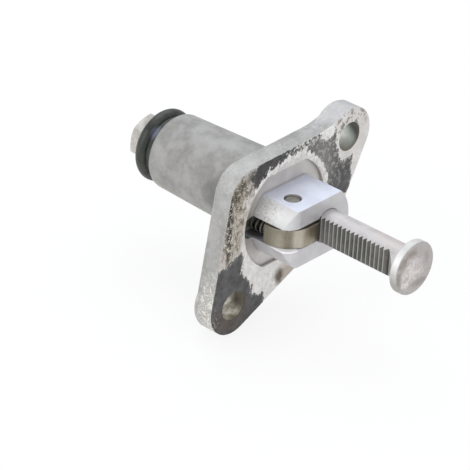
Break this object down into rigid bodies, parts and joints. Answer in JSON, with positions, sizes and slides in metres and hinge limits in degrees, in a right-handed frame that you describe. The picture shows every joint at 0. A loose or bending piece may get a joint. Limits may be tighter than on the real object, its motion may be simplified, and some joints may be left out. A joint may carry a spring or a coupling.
{
  "type": "timing chain tensioner",
  "caption": "Ratchet timing chain tensioner: cast barrel on a bolt-on flange, slotted nose with a sprung pawl that holds a toothed plunger with a round pad, closed by a hexagon cap bolt.",
  "frame": {"origin": "midway between the two bolt holes, on the flange's mounting face", "axes": "+X is the way the plunger pushes, square to the mounting face; +Z runs along the pawl pin, square to the nose's flats; +Y completes the right-handed frame, away from the pawl"},
  "size_m": [0.0819, 0.0508, 0.0438],
  "materials": {
    "casting": "matte as cast, dull with age, machined satin on the nose and in the recess",
    "plunger_steel": "satin ground",
    "pawl_steel": "hardened, olive tint, dull",
    "pin_steel": "plain, dull",
    "spring_steel": "drawn wire, dark",
    "bolt_steel": "zinc plated, worn dull",
    "seal_rubber": "smooth, oily"
  },
  "bodies": {
    "body": {"housing": "casting", "pawl_pin": "pin_steel", "pawl_spring": "spring_steel", "plunger_spring": "spring_steel", "cap_bolt": "bolt_steel", "sealing_ring": "seal_rubber"},
    "plunger": {"plunger": "plunger_steel"},
    "pawl": {"ratchet_pawl": "pawl_steel"}
  },
  "joints": [
    {"name": "plunger_slide", "type": "slide", "parent": "body", "child": "plunger", "axis": [1, 0, 0], "range_m": [-0.018, 0.0036], "stiffness_N_per_m": 1200, "deforming": ["plunger_spring"]},
    {"name": "pawl_pivot", "type": "hinge", "parent": "body", "child": "pawl", "pos_m": [0.0049, -0.0059, 0.0029], "axis": [0, 0, 1], "range_deg": [-10, 0], "stiffness_Nm_per_rad": 0.002, "springref_deg": 11.46, "deforming": ["pawl_spring"]}
  ]
}
